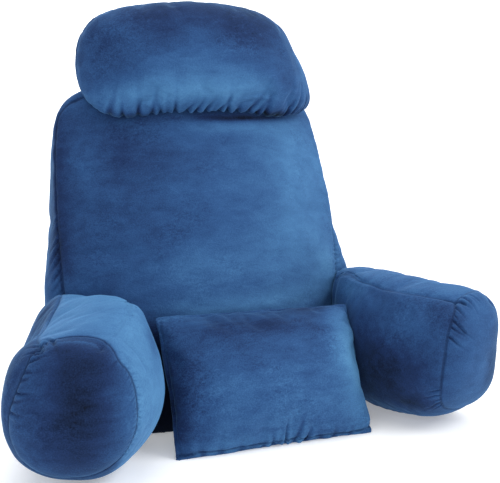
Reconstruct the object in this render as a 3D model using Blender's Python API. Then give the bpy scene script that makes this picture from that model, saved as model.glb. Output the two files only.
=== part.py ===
"""Reading pillow: a leaning backrest, two sewn-on arm bolsters, a head pillow and a lumbar pillow.

Metres, +Z up. The sitter's side is towards -Y, and +X is on the right as seen from there.
Every piece is one filled solid with its crown, its seams and the flat that it rests on.
"""
import math

import bmesh
import bpy
from mathutils import Matrix, Vector

GAP = 0.0006            # sewn neighbours stay this far apart
LEAN_GAP = 0.0025       # a loose pillow stays this far from what it leans on

# A stuffed panel is flat-topped in its middle and falls off roundly towards its seam
CROWN_FLATNESS = 2.4
CROWN_FALL = 0.8

# Backrest: seam lines of its front and back panels, and how far the gusset swells between them
BACKREST_HEIGHT = 0.525
BACKREST_PANEL_MIDDLE = 0.2415  # height that the panels' crowns rise towards
BACKREST_SEAM_Y = 0.060         # the front seam's foot, behind the crowned middle of the panel
BACKREST_LEAN = math.radians(12)
BACKREST_TOP_RADIUS = 0.060
BACKREST_FOOT_RADIUS = 0.022
BACKREST_BOW = 0.058            # the front seams bow forward by this much in the middle
BACKREST_CROWN = 0.030          # and each panel swells this much further
BACKREST_TOP_SWELL = 0.016
BACKREST_SWELL_PEAK = 0.42      # below 1, the swell stands nearer to the front seam
BACKREST_PANEL_RINGS = (0.25, 0.45, 0.62, 0.76, 0.87, 0.95, 0.99)
BACKREST_GUSSET_RINGS = (0.0, 0.015, 0.05, 0.12, 0.22, 0.36, 0.52, 0.68, 0.84, 0.95, 1.0)
BACKREST_SHAPE = [
    # height, where its middle lies, half widths at the front and back seams, thickness, sideways swell
    {"z": 0.000, "middle": 0.004, "front": 0.240, "back": 0.240, "thick": 0.190, "swell": 0.014},
    {"z": 0.150, "middle": 0.004, "front": 0.244, "back": 0.236, "thick": 0.170, "swell": 0.036},
    {"z": 0.220, "middle": 0.002, "front": 0.246, "back": 0.226, "thick": 0.154, "swell": 0.036},
    {"z": 0.300, "middle": -0.003, "front": 0.248, "back": 0.218, "thick": 0.135, "swell": 0.015},
    {"z": 0.420, "middle": -0.008, "front": 0.240, "back": 0.208, "thick": 0.108, "swell": 0.009},
    {"z": 0.525, "middle": -0.008, "front": 0.222, "back": 0.190, "thick": 0.080, "swell": 0.006},
]

# Arms: sections along the bolster, from inside the backrest's flank out to the cap's seam
ARM_SECTIONS = [
    # share of the run, centre on the floor, half width, underside and top
    {"run": 0.00, "x": 0.226, "y": 0.176, "half_width": 0.030, "low": -0.004, "top": 0.190},
    {"run": 0.20, "x": 0.257, "y": 0.098, "half_width": 0.054, "low": -0.004, "top": 0.219},
    {"run": 0.42, "x": 0.257, "y": 0.015, "half_width": 0.091, "low": -0.003, "top": 0.226},
    {"run": 0.62, "x": 0.257, "y": -0.050, "half_width": 0.108, "low": -0.001, "top": 0.226},
    {"run": 0.82, "x": 0.281, "y": -0.112, "half_width": 0.105, "low": 0.004, "top": 0.223},
    {"run": 0.94, "x": 0.303, "y": -0.153, "half_width": 0.096, "low": 0.016, "top": 0.218},
    {"run": 1.00, "x": 0.313, "y": -0.172, "half_width": 0.088, "low": 0.030, "top": 0.213},
]
ARM_POINTS_ROUND = 40
ARM_RINGS = (0.0, 0.1, 0.2, 0.3, 0.4, 0.5, 0.6, 0.7, 0.78, 0.85, 0.9, 0.94, 0.97, 1.0)
ARM_CAP_RINGS = (0.96, 0.86, 0.7, 0.5, 0.28)
# How boxy each quarter of the section is, 2 being round
ARM_SQUARE_INNER_TOP = 2.5
ARM_SQUARE_OUTER_TOP = 1.9
ARM_SQUARE_LOW = 2.15
ARM_CAP_LEAN = 0.020            # the cap's top stands this much further out than its foot
ARM_CAP_DOME = 0.036
ARM_RIGHT_CAP_OUT = 0.008       # the two bolsters are stuffed unevenly: the right one reaches out
ARM_RIGHT_SLIM = 0.018          # and its inner wall swells less

# Head pillow: a loaf with a straight lower edge, leaning on the front of the backrest's top
HEAD_HALF_LENGTH = 0.203
HEAD_RISE = 0.107               # from its widest line up to its top seam
HEAD_DROP = 0.079               # and down to its lower seam
HEAD_THICK = 0.134
HEAD_SQUARE_TOP = 2.2           # roundness of its upper half, 2 being round
HEAD_SQUARE_LOW = 4.5
HEAD_CENTRE = Vector((-0.007, 0.112, 0.567))
HEAD_SKEW = -0.20               # its top leans towards -X by this share of the rise
HEAD_ARCH = 0.008               # its lower seam rises by this much in the middle
HEAD_WRAP = 0.030               # its ends bend back round the backrest by this much
HEAD_POINTS_ROUND = 48
HEAD_RINGS = (0.3, 0.55, 0.74, 0.87, 0.94, 0.98)

# Lumbar pillow: a knife edge all round, one edge on the floor and its back against the backrest
LUMBAR_WIDTH = 0.326
LUMBAR_HEIGHT = 0.2205
LUMBAR_THICK = 0.106
LUMBAR_FOOT = Vector((0.0195, -0.114, 0.0))     # middle of the edge that stands on the floor
LUMBAR_TURN = math.radians(-4)
LUMBAR_LEAN = math.radians(31)
LUMBAR_DRAW_IN = (0.003, 0.0065, 0.001, 0.0065)     # foot, right, top and left sides
LUMBAR_SKEW = 0.030             # its top stands this share of the rise to one side
LUMBAR_FLARE = 0.0125           # it is this share wider at its top than at its middle
LUMBAR_TOP_SLOPE = -0.022       # and its top edge falls towards that side
LUMBAR_EDGE = 0.0012            # half the thickness of its sewn edge
LUMBAR_FALL = 0.55              # how roundly it swells up from that edge, 1 being a cone
LUMBAR_FOOT_CUT = 0.004         # how deep the knife edge is pressed flat on the floor
LUMBAR_POINTS_A_SIDE = 14
LUMBAR_RINGS = (0.25, 0.45, 0.62, 0.76, 0.87, 0.94, 0.985)

VELOUR_BLUE = (0.028, 0.102, 0.292, 1.0)
VELOUR_ROUGHNESS = 0.85


def clear_scene():
    for item in list(bpy.data.objects):
        bpy.data.objects.remove(item, do_unlink=True)


def velour(name):
    material = bpy.data.materials.new(name)
    material.use_nodes = True
    shader = material.node_tree.nodes["Principled BSDF"]
    shader.inputs["Base Color"].default_value = VELOUR_BLUE
    shader.inputs["Roughness"].default_value = VELOUR_ROUGHNESS
    shader.inputs["Metallic"].default_value = 0.0
    return material


def smooth_between(rows, key, at, value):
    """Reads a column of a short table at a place between its rows, with a smooth curve."""
    count = len(rows)
    if at <= rows[0][key]:
        return rows[0][value]
    if at >= rows[-1][key]:
        return rows[-1][value]
    i = next(n for n in range(count - 1) if at <= rows[n + 1][key])
    low, high = rows[i], rows[i + 1]
    span = high[key] - low[key]
    share = (at - low[key]) / span

    def slope(n):
        before, after = rows[max(n - 1, 0)], rows[min(n + 1, count - 1)]
        return (after[value] - before[value]) / (after[key] - before[key])

    cube, square = share ** 3, share ** 2
    return (
        (2 * cube - 3 * square + 1) * low[value]
        + (cube - 2 * square + share) * span * slope(i)
        + (3 * square - 2 * cube) * high[value]
        + (cube - square) * span * slope(i + 1)
    )


def crowned(share):
    """How far a stuffed panel stands up, from 1 in its middle to 0 at its seam."""
    return (1 - share ** CROWN_FLATNESS) ** CROWN_FALL


def rounded_box(angle, square):
    """A point on a unit outline between a circle and a box."""
    c, s = math.cos(angle), math.sin(angle)
    return math.copysign(abs(c) ** (2 / square), c), math.copysign(abs(s) ** (2 / square), s)


def skin(name, rings, first_point, last_point):
    """Bridges rings of equal count into one closed body, with a fan of triangles at each end."""
    mesh = bmesh.new()
    loops = [[mesh.verts.new(p) for p in ring] for ring in rings]
    count = len(rings[0])
    for near, far in zip(loops, loops[1:]):
        for i in range(count):
            j = (i + 1) % count
            mesh.faces.new((near[i], near[j], far[j], far[i]))
    for point, loop in ((first_point, loops[0]), (last_point, loops[-1])):
        tip = mesh.verts.new(point)
        for i in range(count):
            mesh.faces.new((tip, loop[i], loop[(i + 1) % count]))
    bmesh.ops.recalc_face_normals(mesh, faces=mesh.faces)
    data = bpy.data.meshes.new(name)
    mesh.to_mesh(data)
    mesh.free()
    data.materials.append(velour(name + "_velour"))
    data.shade_smooth()
    piece = bpy.data.objects.new(name, data)
    bpy.context.scene.collection.objects.link(piece)
    return piece


def rest_flat(piece):
    """Cuts a piece at the floor and closes it with a flat face to rest on."""
    mesh = bmesh.new()
    mesh.from_mesh(piece.data)
    everything = mesh.verts[:] + mesh.edges[:] + mesh.faces[:]
    bmesh.ops.bisect_plane(
        mesh, geom=everything, dist=1e-6, plane_co=(0, 0, 0), plane_no=(0, 0, -1), clear_outer=True)
    bmesh.ops.holes_fill(mesh, edges=[e for e in mesh.edges if e.is_boundary])
    bmesh.ops.triangulate(mesh, faces=[f for f in mesh.faces if len(f.verts) > 4])
    bmesh.ops.recalc_face_normals(mesh, faces=mesh.faces)
    mesh.to_mesh(piece.data)
    mesh.free()


def cut_by(piece, neighbour, gap):
    """Takes the neighbour, grown by the gap, out of a piece, so that the two meet along one line."""
    grown = neighbour.copy()
    grown.data = neighbour.data.copy()
    grown.name = piece.name + "_cutter"
    bpy.context.scene.collection.objects.link(grown)
    swell = grown.modifiers.new("grow", "DISPLACE")
    swell.strength = gap
    swell.mid_level = 0.0
    grown.hide_render = True
    grown.display_type = "WIRE"
    cut = piece.modifiers.new("meet_" + neighbour.name, "BOOLEAN")
    cut.operation = "DIFFERENCE"
    cut.solver = "EXACT"
    cut.object = grown


def backrest_at(z, column):
    return smooth_between(BACKREST_SHAPE, "z", z, column)


def backrest_outline(column):
    """Points round a panel, anticlockwise from the floor: flat foot, tapering sides, round top corners."""
    along_foot, round_foot, up_side, round_top, along_top = 5, 5, 9, 7, 4
    foot = BACKREST_FOOT_RADIUS
    radius = BACKREST_TOP_RADIUS
    low = backrest_at(0.0, column) - foot
    shoulder = BACKREST_HEIGHT - radius
    across = backrest_at(shoulder, column) - radius
    right = [(low * n / along_foot, 0.0) for n in range(along_foot)]
    for n in range(round_foot):
        angle = math.pi / 2 * n / round_foot
        right.append((low + foot * math.sin(angle), foot * (1 - math.cos(angle))))
    for n in range(up_side):
        z = foot + (shoulder - foot) * n / up_side
        right.append((backrest_at(z, column), z))
    for n in range(round_top):
        angle = math.pi / 2 * n / round_top
        right.append((across + radius * math.cos(angle), shoulder + radius * math.sin(angle)))
    right += [(across * (1 - n / along_top), BACKREST_HEIGHT) for n in range(along_top)]
    left = [(-x, z) for x, z in right[1:]]
    return right + [(0.0, BACKREST_HEIGHT)] + left[::-1]


def backrest():
    """Front and back panels drawn in towards their crowns, and the gusset swelling between them."""
    front = backrest_outline("front")
    back = backrest_outline("back")
    middle = BACKREST_PANEL_MIDDLE

    def seam_y(z):
        return BACKREST_SEAM_Y + math.tan(BACKREST_LEAN) * z

    def front_y(x, z):
        return seam_y(z) - BACKREST_BOW * (1 - min(1.0, abs(x) / backrest_at(z, "front")) ** 2)

    def back_y(x, z):
        return seam_y(z) + backrest_at(z, "thick")

    def panel(outline, share, crown, depth_at):
        ring = []
        for x, z in outline:
            xx, zz = x * share, middle + (z - middle) * share
            ring.append((backrest_at(zz, "middle") + xx, depth_at(xx, zz) + crown * crowned(share), zz))
        return ring

    def gusset(depth):
        """One ring round the side, top and floor, at a share of the thickness."""
        bow = max(0.0, math.sin(math.pi * depth ** BACKREST_SWELL_PEAK)) ** CROWN_FALL
        ring = []
        for (x_front, z), (x_back, _) in zip(front, back):
            x = x_front + (x_back - x_front) * depth
            side = min(1.0, abs(x_front) / backrest_at(z, "front"))
            top = max(0.0, (z - BACKREST_HEIGHT + BACKREST_TOP_RADIUS) / BACKREST_TOP_RADIUS)
            out = math.copysign(backrest_at(z, "swell") * bow * side ** 2, x) if z > 0 else 0.0
            up = BACKREST_TOP_SWELL * bow * top ** 1.5
            y = front_y(x_front, z) * (1 - depth) + back_y(x_back, z) * depth
            ring.append((backrest_at(z, "middle") + x + out, y, z + up))
        return ring

    rings = [panel(front, s, -BACKREST_CROWN, front_y) for s in BACKREST_PANEL_RINGS]
    rings += [gusset(d) for d in BACKREST_GUSSET_RINGS]
    rings += [panel(back, s, BACKREST_CROWN, back_y) for s in reversed(BACKREST_PANEL_RINGS)]
    centre = backrest_at(middle, "middle")
    first = (centre, front_y(0.0, middle) - BACKREST_CROWN, middle)
    last = (centre, back_y(0.0, middle) + BACKREST_CROWN, middle)
    return skin("backrest", rings, first, last)


def arm(name, side, cap_out, slim):
    """One bolster, lofted along its bowed run out of the backrest's flank, with a domed end cap."""
    def slimming(share):
        return slim * math.sin(math.pi * share)

    def centre(share):
        spot = Vector([smooth_between(ARM_SECTIONS, "run", share, key) for key in ("x", "y")])
        return spot + Vector((cap_out * share ** 3 + slimming(share), 0))

    def heading(share):
        return (centre(min(share + 0.01, 1.0)) - centre(max(share - 0.01, 0.0))).normalized()

    def section(place, ahead, half_width, low, top, lean):
        """A ring square to the run, each quarter with its own roundness, and leaning if asked."""
        across = Vector((-ahead.y, ahead.x))
        middle, rise = (low + top) / 2, (top - low) / 2
        ring = []
        for n in range(ARM_POINTS_ROUND):
            angle = 2 * math.pi * n / ARM_POINTS_ROUND
            square = ARM_SQUARE_LOW
            if math.sin(angle) > 0:
                square = ARM_SQUARE_OUTER_TOP if math.cos(angle) > 0 else ARM_SQUARE_INNER_TOP
            u, w = rounded_box(angle, square)
            spot = place + across * u * half_width + ahead * lean * w / 2
            ring.append((spot.x * side, spot.y, middle + w * rise))
        return ring

    rings = []
    for share in ARM_RINGS:
        row = {key: smooth_between(ARM_SECTIONS, "run", share, key) for key in ("half_width", "low", "top")}
        row["half_width"] -= slimming(share)
        lean = ARM_CAP_LEAN * share ** 4
        rings.append(section(centre(share), heading(share), lean=lean, **row))
    seam = ARM_SECTIONS[-1]
    ahead = heading(1.0)
    middle = (seam["low"] + seam["top"]) / 2
    rise = (seam["top"] - seam["low"]) / 2
    for share in ARM_CAP_RINGS:
        place = centre(1.0) + ahead * ARM_CAP_DOME * crowned(share)
        low, top = middle - rise * share, middle + rise * share
        rings.append(section(place, ahead, seam["half_width"] * share, low, top, ARM_CAP_LEAN * share))
    root = centre(0.0)
    tip = centre(1.0) + ahead * ARM_CAP_DOME
    piece = skin(name, rings, (root.x * side, root.y, middle), (tip.x * side, tip.y, middle))
    rest_flat(piece)
    return piece


def loose_pillow(name, outline, lift_at, bend, steps, place):
    """Two panels sewn edge to edge: rings drawn in from the seam on both sides."""
    def ring(share, side):
        points = []
        for u, w in outline:
            u, w = u * share, w * share
            points.append(place @ Vector((u, side * lift_at(u, w, share) + bend(u), w)))
        return points

    rings = [ring(s, -1) for s in steps]
    rings.append(ring(1.0, 0))
    rings += [ring(s, 1) for s in reversed(steps)]
    lift = lift_at(0.0, 0.0, 0.0)
    return skin(name, rings, place @ Vector((0, -lift, 0)), place @ Vector((0, lift, 0)))


def head_pillow():
    outline = []
    for n in range(HEAD_POINTS_ROUND):
        angle = 2 * math.pi * n / HEAD_POINTS_ROUND
        upper = math.sin(angle) > 0
        u, w = rounded_box(angle, HEAD_SQUARE_TOP if upper else HEAD_SQUARE_LOW)
        arch = HEAD_ARCH * max(0.0, -w) * (1 - u ** 2)
        w *= HEAD_RISE if upper else HEAD_DROP
        outline.append((u * HEAD_HALF_LENGTH + HEAD_SKEW * w, w + arch))

    def lift(u, w, share):
        return HEAD_THICK / 2 * (1 - share ** 3) ** 0.5

    def bend(u):
        return HEAD_WRAP * (u / HEAD_HALF_LENGTH) ** 2

    return loose_pillow("head_pillow", outline, lift, bend, HEAD_RINGS, Matrix.Translation(HEAD_CENTRE))


def lumbar_pillow():
    """A knife-edge pillow: sides drawn in between its corners, one edge on the floor."""
    half_w, half_h = LUMBAR_WIDTH / 2, LUMBAR_HEIGHT / 2
    corners = ((-half_w, -half_h), (half_w, -half_h), (half_w, half_h), (-half_w, half_h))
    outline = []
    for i, start in enumerate(corners):
        end = corners[(i + 1) % 4]
        upright = i % 2
        for n in range(LUMBAR_POINTS_A_SIDE):
            share = n / LUMBAR_POINTS_A_SIDE
            draw = LUMBAR_DRAW_IN[i] * math.sin(math.pi * share) ** 0.6
            u = start[0] + (end[0] - start[0]) * share
            w = start[1] + (end[1] - start[1]) * share
            if upright:
                u *= 1 - draw / half_w
            else:
                w *= 1 - draw / half_h
            rise = w / half_h
            across = u * (1 + LUMBAR_FLARE * rise) + LUMBAR_SKEW * w
            outline.append((across, w + LUMBAR_TOP_SLOPE * u * max(0.0, rise)))

    def lift(u, w, share):
        across = max(0.0, 1 - abs(u / half_w) ** CROWN_FLATNESS)
        upward = max(0.0, 1 - abs(w / half_h) ** CROWN_FLATNESS)
        return max(LUMBAR_EDGE, LUMBAR_THICK / 2 * (across * upward) ** LUMBAR_FALL)

    def bend(u):
        return 0.0

    place = (
        Matrix.Translation(LUMBAR_FOOT)
        @ Matrix.Rotation(LUMBAR_TURN, 4, "Z")
        @ Matrix.Rotation(-LUMBAR_LEAN, 4, "X")
        @ Matrix.Translation((0, 0, half_h - LUMBAR_FOOT_CUT)))
    piece = loose_pillow("lumbar_pillow", outline, lift, bend, LUMBAR_RINGS, place)
    rest_flat(piece)
    return piece


def centre_on_floor(pieces):
    """Moves everything so that the origin lies under the middle of the whole object."""
    depsgraph = bpy.context.evaluated_depsgraph_get()
    corners = []
    for piece in pieces:
        shown = piece.evaluated_get(depsgraph)
        corners += [shown.matrix_world @ v.co for v in shown.data.vertices]
    shift = Vector((
        -(min(c.x for c in corners) + max(c.x for c in corners)) / 2,
        -(min(c.y for c in corners) + max(c.y for c in corners)) / 2,
        -min(c.z for c in corners)))
    for item in bpy.data.objects:
        item.location += shift
    print("moved by", [round(v, 4) for v in shift])


def main():
    clear_scene()
    back = backrest()
    arms = [arm("arm_left", -1, 0.0, 0.0), arm("arm_right", 1, ARM_RIGHT_CAP_OUT, ARM_RIGHT_SLIM)]
    head = head_pillow()
    lumbar = lumbar_pillow()
    for bolster in arms:
        cut_by(bolster, back, GAP)
    cut_by(head, back, LEAN_GAP)
    cut_by(lumbar, back, LEAN_GAP)
    centre_on_floor([back, head, lumbar] + arms)


main()
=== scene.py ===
# %% [markdown]
# # A reading pillow in blue velour
# The real object is five stuffed pieces under one cloth: a backrest that leans, a bolster sewn to
# each of its flanks, a small head pillow on its top and a loose lumbar pillow between the arms.
# Each imported solid gives a piece its place and size. The looks come from a cover that is
# remeshed from the solid, blown up like a filled bag, gathered at its seams and given a nap, with
# painted light and shade in its colour.

import math

import bpy
import numpy as np
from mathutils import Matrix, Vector, noise
from mathutils.bvhtree import BVHTree
from mathutils.kdtree import KDTree


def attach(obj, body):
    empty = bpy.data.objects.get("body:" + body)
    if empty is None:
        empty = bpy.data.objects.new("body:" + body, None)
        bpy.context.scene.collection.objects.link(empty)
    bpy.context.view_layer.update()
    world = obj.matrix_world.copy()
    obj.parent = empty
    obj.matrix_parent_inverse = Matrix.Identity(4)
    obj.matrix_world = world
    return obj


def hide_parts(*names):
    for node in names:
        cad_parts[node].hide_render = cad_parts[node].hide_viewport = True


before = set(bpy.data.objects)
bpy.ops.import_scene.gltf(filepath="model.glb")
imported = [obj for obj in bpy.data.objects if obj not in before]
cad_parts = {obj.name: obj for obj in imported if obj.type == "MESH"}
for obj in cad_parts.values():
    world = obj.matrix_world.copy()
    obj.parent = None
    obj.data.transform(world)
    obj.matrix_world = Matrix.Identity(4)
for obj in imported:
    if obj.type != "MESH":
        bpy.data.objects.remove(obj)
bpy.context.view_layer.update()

# %% [markdown]
# ## Camera
# The view was fitted to the floor contacts, the upright backrest and the level seams. The camera
# stands left of the middle, a little over the head pillow's lower edge, and looks down by 8.5 degrees.

# %% Camera
CAMERA_PLACE = (-0.5812, -1.2937, 0.5047)
CAMERA_YAW = 25.51
CAMERA_DOWN = 8.49
CAMERA_LENS = 64.1
CAMERA_SENSOR = 36

bpy.ops.object.select_all(action="DESELECT")
bpy.ops.object.camera_add(
    location=CAMERA_PLACE, rotation=(math.radians(90 - CAMERA_DOWN), 0, math.radians(-CAMERA_YAW)))
camera = bpy.context.object
camera.data.lens = CAMERA_LENS
camera.data.sensor_width = CAMERA_SENSOR
bpy.context.scene.camera = camera
print("camera looks down", CAMERA_DOWN, "degrees through a", CAMERA_LENS, "mm lens")

# %% [markdown]
# ## Studio
# A product photograph of dark cloth wants big soft lights and a pale sweep behind it. One plane is
# extruded up at its far edge, and the fold is bevelled round, so no line shows behind the object.

# %% Floor and backdrop
SWEEP_SIZE = 12
SWEEP_BACK = 3.0
SWEEP_HEIGHT = 5
SWEEP_RADIUS = 1.2
SWEEP_STEPS = 16
SAME_PLACE = 0.01
PALE_FLOOR = {"Base Color": (0.86, 0.87, 0.88, 1), "Roughness": 0.9,
              "Emission Color": (1, 1, 1, 1), "Emission Strength": 0.27}

bpy.ops.object.select_all(action="DESELECT")
bpy.ops.mesh.primitive_plane_add(size=SWEEP_SIZE, location=(0, SWEEP_BACK - SWEEP_SIZE / 2, 0))
floor = bpy.context.object
floor.name = "studio_floor"
bpy.ops.object.transform_apply(location=True, rotation=True, scale=True)
bpy.ops.object.mode_set(mode="EDIT")
bpy.ops.mesh.select_all(action="DESELECT")
bpy.ops.object.mode_set(mode="OBJECT")
for edge in floor.data.edges:
    edge.select = all(abs(floor.data.vertices[v].co.y - SWEEP_BACK) < SAME_PLACE for v in edge.vertices)
bpy.ops.object.mode_set(mode="EDIT")
bpy.ops.mesh.select_mode(type="EDGE")
bpy.ops.mesh.extrude_region_move(TRANSFORM_OT_translate={"value": (0, 0, SWEEP_HEIGHT)})
bpy.ops.mesh.select_all(action="DESELECT")
bpy.ops.object.mode_set(mode="OBJECT")
for edge in floor.data.edges:
    ends = [floor.data.vertices[v].co for v in edge.vertices]
    edge.select = all(abs(e.y - SWEEP_BACK) < SAME_PLACE and abs(e.z) < SAME_PLACE for e in ends)
bpy.ops.object.mode_set(mode="EDIT")
bpy.ops.mesh.bevel(offset=SWEEP_RADIUS, segments=SWEEP_STEPS)
bpy.ops.mesh.select_all(action="SELECT")
bpy.ops.mesh.normals_make_consistent(inside=False)
bpy.ops.object.mode_set(mode="OBJECT")
bpy.ops.object.shade_smooth()
pale = bpy.data.materials.new("pale_floor")
pale.use_nodes = True
for socket, value in PALE_FLOOR.items():
    pale.node_tree.nodes["Principled BSDF"].inputs[socket].default_value = value
floor.data.materials.append(pale)
print("floor faces", len(floor.data.polygons))

# %% Lights
STUDIO_LIGHTS = [
    # a big key from the right, a fill from the left, a wide one over the top, and one for the backdrop
    {"name": "key", "place": (1.7, -1.3, 1.9), "size": 1.6, "watts": 50, "colour": (1.0, 0.985, 0.96)},
    {"name": "fill", "place": (-2.1, -1.9, 1.3), "size": 2.0, "watts": 22, "colour": (0.95, 0.98, 1.0)},
    {"name": "top", "place": (-0.3, 0.2, 2.4), "size": 2.0, "watts": 26, "colour": (1.0, 1.0, 1.0)},
    {"name": "backdrop", "place": (0.6, 1.6, 2.4), "size": 2.4, "watts": 60, "colour": (1.0, 1.0, 1.0),
     "aim": (0.9, 3.0, 0.8)},
]
OBJECT_MIDDLE = (0.0, 0.0, 0.25)
WORLD_COLOUR = (0.93, 0.96, 1.0, 1)
WORLD_STRENGTH = 0.60

for lamp in STUDIO_LIGHTS:
    aim = lamp.get("aim", OBJECT_MIDDLE)
    turn = (Vector(aim) - Vector(lamp["place"])).to_track_quat("-Z", "Y").to_euler()
    bpy.ops.object.light_add(type="AREA", location=lamp["place"], rotation=turn)
    light = bpy.context.object
    light.name = "light_" + lamp["name"]
    light.data.energy = lamp["watts"]
    light.data.size = lamp["size"]
    light.data.color = lamp["colour"]
world = bpy.context.scene.world or bpy.data.worlds.new("studio")
bpy.context.scene.world = world
world.use_nodes = True
world.node_tree.nodes["Background"].inputs["Color"].default_value = WORLD_COLOUR
world.node_tree.nodes["Background"].inputs["Strength"].default_value = WORLD_STRENGTH
bpy.context.scene.view_settings.view_transform = "Standard"
print("lights", [lamp["name"] for lamp in STUDIO_LIGHTS])

# %% [markdown]
# ## Velour
# Velour is a knit with a short cut pile. Where the pile leans away from you it looks dark, where it
# leans towards you it looks pale, and a hand stroked over it leaves cloudy patches of both. The
# group below turns one number, the lay of the nap with painted light and shade added to it, into
# colour, roughness and height. It adds clouds, brush marks and single tufts to it, each as noise at
# its real size. The number that a piece carries as an attribute says where its cloth was stroked
# which way, and it also holds painted light and shade: painted shadows under and between the
# pieces, painted shade in the hollows of folds and painted highlight on their ridges, and sides made
# lighter or darker by how the lamps fall on them. A second attribute paints shade along the seam
# grooves. The soft light rim of a pile is the shader's own sheen, so it is set on the Principled
# shader itself.

# %% Nap and painted shading group
NAP_SIZES = [
    # noise scale per metre, stretch, how much it moves the lay, detail, distortion, only in patches
    ("clouds", 9.0, (1, 1, 1), 0.18, 2.0, 0.3, False),
    ("brush_marks", 75.0, (0.35, 1, 1), 0.13, 4.0, 0.5, False),
    ("flecks", 300.0, (0.6, 1, 1), 0.20, 4.0, 0.8, True),
    ("tufts", 520.0, (1, 1, 1), 0.15, 2.0, 0.0, False),
]
FLECK_PATCH = {"scale": 14.0, "detail": 3.0, "from": 0.48, "gain": 6.0}
# the ramp from the darkest to the palest tone of the cloth: painted light and shade pass through it too, and
# its darkest end is the painted shadow in the gaps
NAP_AND_SHADE_COLOURS = [
    (0.00, (0.0012, 0.0036, 0.0125, 1)),
    (0.25, (0.0085, 0.0250, 0.0860, 1)),
    (0.50, (0.0200, 0.0680, 0.1850, 1)),
    (0.75, (0.0420, 0.1320, 0.2900, 1)),
    (1.00, (0.0740, 0.2150, 0.4050, 1)),
]
# painted shade along the seam grooves: its tint, and how far it darkens the colour
SEAM_SHADE_TINT = (0.16, 0.20, 0.30, 1)
SEAM_SHADE_STRENGTH = 0.75
SHINE_OF_LAY = 0.22
HEIGHT_OF_BRUSH_MARKS = 0.7
HEIGHT_OF_TUFTS = 0.3


def maths(tree, operation, first, second, clamp=False):
    node = tree.nodes.new("ShaderNodeMath")
    node.operation = operation
    node.use_clamp = clamp
    for socket, value in zip(node.inputs, (first, second)):
        if isinstance(value, (int, float)):
            socket.default_value = value
        else:
            tree.links.new(value, socket)
    return node.outputs[0]


def noise_texture(tree, name, place, scale, detail, distortion=0.0):
    texture = tree.nodes.new("ShaderNodeTexNoise")
    texture.label = name
    texture.inputs["Scale"].default_value = scale
    texture.inputs["Detail"].default_value = detail
    texture.inputs["Distortion"].default_value = distortion
    tree.links.new(place, texture.inputs["Vector"])
    return texture.outputs["Fac"]


def nap_and_shade_group():
    tree = bpy.data.node_groups.new("velour_nap_and_shade", "ShaderNodeTree")
    for name, usual in (("Lay and Shading", 0.5), ("Seam", 0.0), ("Mottle", 1.0)):
        socket = tree.interface.new_socket(name, in_out="INPUT", socket_type="NodeSocketFloat")
        socket.default_value = usual
    tree.interface.new_socket("Color", in_out="OUTPUT", socket_type="NodeSocketColor")
    tree.interface.new_socket("Roughness", in_out="OUTPUT", socket_type="NodeSocketFloat")
    tree.interface.new_socket("Height", in_out="OUTPUT", socket_type="NodeSocketFloat")
    given = tree.nodes.new("NodeGroupInput")
    result = tree.nodes.new("NodeGroupOutput")
    place = tree.nodes.new("ShaderNodeTexCoord").outputs["Object"]
    # the lay of the nap with painted light and shade, from the cover's attribute
    lay_and_shading = given.outputs["Lay and Shading"]
    heights = {}
    patches = noise_texture(tree, "fleck_patches", place, FLECK_PATCH["scale"], FLECK_PATCH["detail"])
    patches = maths(tree, "SUBTRACT", patches, FLECK_PATCH["from"])
    patches = maths(tree, "MULTIPLY", patches, FLECK_PATCH["gain"], True)
    for name, scale, stretch, amount, detail, distortion, patchy in NAP_SIZES:
        drawn = tree.nodes.new("ShaderNodeVectorMath")
        drawn.operation = "MULTIPLY"
        drawn.inputs[1].default_value = stretch
        tree.links.new(place, drawn.inputs[0])
        height = noise_texture(tree, name, drawn.outputs[0], scale, detail, distortion)
        centred = maths(tree, "SUBTRACT", height, 0.5)
        share = maths(tree, "MULTIPLY", centred, amount * 2)
        share = maths(tree, "MULTIPLY", share, given.outputs["Mottle"])
        if patchy:
            share = maths(tree, "MULTIPLY", share, patches)
        lay_and_shading = maths(tree, "ADD", lay_and_shading, share)
        heights[name] = height
    ramp = tree.nodes.new("ShaderNodeValToRGB")
    for spot, colour in NAP_AND_SHADE_COLOURS[1:-1]:
        ramp.color_ramp.elements.new(spot).color = colour
    ramp.color_ramp.elements[0].color = NAP_AND_SHADE_COLOURS[0][1]
    ramp.color_ramp.elements[-1].color = NAP_AND_SHADE_COLOURS[-1][1]
    tree.links.new(lay_and_shading, ramp.inputs["Fac"])
    shade = tree.nodes.new("ShaderNodeMix")
    shade.data_type = "RGBA"
    shade.blend_type = "MULTIPLY"
    # painted shade along the seam grooves darkens the colour
    dark = maths(tree, "MULTIPLY", given.outputs["Seam"], SEAM_SHADE_STRENGTH, True)
    tree.links.new(dark, shade.inputs["Factor"])
    tree.links.new(ramp.outputs["Color"], shade.inputs["A"])
    shade.inputs["B"].default_value = SEAM_SHADE_TINT
    tree.links.new(shade.outputs["Result"], result.inputs["Color"])
    rough = maths(tree, "SUBTRACT", 1.0, maths(tree, "MULTIPLY", lay_and_shading, SHINE_OF_LAY))
    tree.links.new(rough, result.inputs["Roughness"])
    marks = maths(tree, "MULTIPLY", heights["brush_marks"], HEIGHT_OF_BRUSH_MARKS)
    tufts = maths(tree, "MULTIPLY", heights["tufts"], HEIGHT_OF_TUFTS)
    tree.links.new(maths(tree, "ADD", marks, tufts), result.inputs["Height"])
    return tree


NAP_AND_SHADE = nap_and_shade_group()
print("nap group nodes", len(NAP_AND_SHADE.nodes))

# %% Velour material
PILE_BUMP = {"Strength": 0.6, "Distance": 0.002}
PILE_SHINE = {"Specular IOR Level": 0.18, "Sheen Weight": 0.28, "Sheen Roughness": 0.38,
              "Sheen Tint": (0.22, 0.56, 1.0, 1)}


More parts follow.
